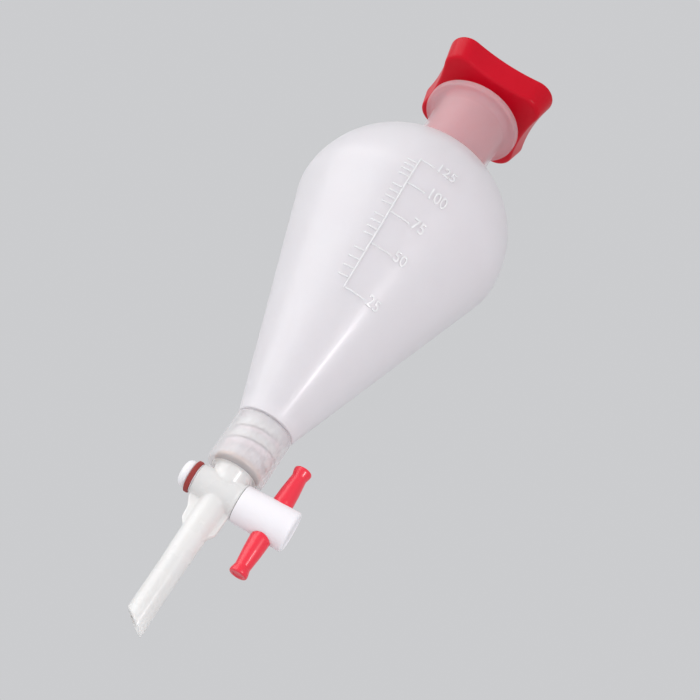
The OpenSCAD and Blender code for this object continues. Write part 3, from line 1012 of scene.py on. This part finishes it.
def make_ring(name, node, low, high, edge, material):
    """A flat ring with rounded edges on the plug's tail, as wide as its CAD node."""
    places = [(RING_BORE_R, low.x), (high.y, low.x), (high.y, high.x), (RING_BORE_R, high.x)]
    ring = rounded([(r, x, edge) for r, x in places], closed=True)
    piece = lathe(name, ring, material, closed=True, place=along_x, segments=96)
    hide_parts(node)
    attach(piece, "washers")


def make_nut():
    """The domed cap nut, open towards the barrel."""
    outer, back, front = nut_high.y, nut_low.x, nut_high.x
    outline = rounded([
        (0, back, 0),
        (outer, back, NUT_DOME),
        (outer, front, NUT_EDGE),
        (NUT_BORE_R, front, NUT_BORE_EDGE),
        (NUT_BORE_R, back + NUT_CAP_T, NUT_BORE_EDGE),
        (0, back + NUT_CAP_T, 0),
    ])
    body = lathe("nut_cap", outline, nut_plastic, place=along_x, segments=96)
    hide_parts("retaining_nut")
    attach(body, "nut")


# --- Camera, light and stage -----------------------------------------------------------------------

CAMERA_PITCH = math.radians(30)
CAMERA_AZIMUTH = math.radians(9)
CAMERA_ROLL = math.radians(34)
CAMERA_LEAN = 0.01076
CAMERA_ACROSS = 8.36
CAMERA_BELOW = 38.8
CAMERA_FAR = 388.4
CAMERA_LENS = 64.3
SENSOR = 36
NEAREST, FURTHEST = 0.01, 50
FLOOR_HALF = 6.0
FLOOR_LEVEL = -0.62
SKY = (0.6, 0.605, 0.62, 1)
LIGHTS_AIM = Vector((0, 0, -0.01))
KEY_AT = (-0.55, 0.75, -0.15)  # from the aim, along the camera's right, top and forward, in metres
FRONT_AT = (-0.1, -0.3, -0.9)
STRIP_AIM = Vector((0, 0, -0.045))
STRIP_TURN = math.radians(-55)
STRIP_FAR = 0.35
STRIP_LEVEL = -0.083
STRIP_COLOUR = (1, 0.95, 0.97)


def camera_axes():
    """The camera's right, top and forward, and the unrolled right and rise that its place is given in."""
    up = Vector((0, 0, 1))
    side = Vector((math.cos(CAMERA_AZIMUTH), math.sin(CAMERA_AZIMUTH), 0))
    away = Vector((-math.sin(CAMERA_AZIMUTH), math.cos(CAMERA_AZIMUTH), 0))
    forward = away * math.cos(CAMERA_PITCH) + up * math.sin(CAMERA_PITCH)
    across = (side - up * CAMERA_LEAN).normalized()
    forward = (forward - across * forward.dot(across)).normalized()
    rise = across.cross(forward)
    right = rise * math.sin(CAMERA_ROLL) + across * math.cos(CAMERA_ROLL)
    top = rise * math.cos(CAMERA_ROLL) - across * math.sin(CAMERA_ROLL)
    return right, top, forward, across, rise


def make_camera():
    """Looks up at the scale from below, a little from the plug head's side, rolled so that it leans right."""
    right, top, forward, across, rise = camera_axes()
    centre = Vector((0, 0, WIDEST))
    place = centre + across * CAMERA_ACROSS - rise * CAMERA_BELOW - forward * CAMERA_FAR
    data = bpy.data.cameras.new("camera")
    data.lens = CAMERA_LENS
    data.sensor_width = SENSOR
    data.clip_start = NEAREST
    data.clip_end = FURTHEST
    camera = bpy.data.objects.new("camera", data)
    bpy.context.scene.collection.objects.link(camera)
    turn = Matrix((right, top, -forward)).transposed()
    camera.matrix_world = Matrix.Translation(place * MM) @ turn.to_4x4()
    bpy.context.scene.camera = camera


def area_light(name, place, target, size, power, colour=(1, 1, 1)):
    """A rectangular soft light at a place in metres, turned to its target."""
    data = bpy.data.lights.new(name, "AREA")
    data.shape = "RECTANGLE"
    data.size, data.size_y = size
    data.energy = power
    data.color = colour
    light = bpy.data.objects.new(name, data)
    bpy.context.scene.collection.objects.link(light)
    light.location = place
    light.rotation_mode = "QUATERNION"
    light.rotation_quaternion = (Vector(target) - Vector(place)).to_track_quat("-Z", "Y")


def make_floor():
    """A plain pale floor far below the hanging funnel."""
    floor = bpy.data.objects.new("floor", bpy.data.meshes.new("floor"))
    corners = [(-1, -1), (1, -1), (1, 1), (-1, 1)]
    points = [(x * FLOOR_HALF, y * FLOOR_HALF, FLOOR_LEVEL) for x, y in corners]
    floor.data.from_pydata(points, [], [(0, 1, 2, 3)])
    paint = plastic("floor_paint", (0.93, 0.93, 0.94), (0.91, 0.91, 0.92), (0.6, 0.7), 0.02, 200, 4)
    floor.data.materials.append(paint)
    bpy.context.scene.collection.objects.link(floor)


def make_world():
    """The even grey light all round, which is also the backdrop."""
    world = bpy.data.worlds.new("studio")
    world.use_nodes = True
    background = world.node_tree.nodes["Background"]
    background.inputs["Color"].default_value = SKY
    background.inputs["Strength"].default_value = 1.0
    bpy.context.scene.world = world
    bpy.context.scene.view_settings.view_transform = "Standard"


def make_lights():
    """A broad key from above left, a low front light, and a narrow strip for the streak down the cone."""
    right, top, forward, _, _ = camera_axes()
    key_at, front_at = [LIGHTS_AIM + (right * x + top * y + forward * z) for x, y, z in (KEY_AT, FRONT_AT)]
    strip_at = Vector((math.cos(STRIP_TURN) * STRIP_FAR, math.sin(STRIP_TURN) * STRIP_FAR, STRIP_LEVEL))
    area_light("key", key_at, LIGHTS_AIM, size=(1.0, 1.0), power=6)
    area_light("front", front_at, LIGHTS_AIM, size=(0.5, 0.3), power=3.2)
    area_light("strip", strip_at, STRIP_AIM, size=(0.02, 0.06), power=0.4, colour=STRIP_COLOUR)


make_flask()
make_stopper()
make_gasket()
make_housing()
make_plug()
make_handle()
make_ring("slip_ring", "slip_washer", slip_low, slip_high, 0.1, plug_plastic)
make_ring("tension_ring", "tension_washer", ring_low, ring_high, 0.4, washer_rubber)
make_nut()
make_camera()
make_floor()
make_world()
make_lights()
bpy.context.view_layer.update()
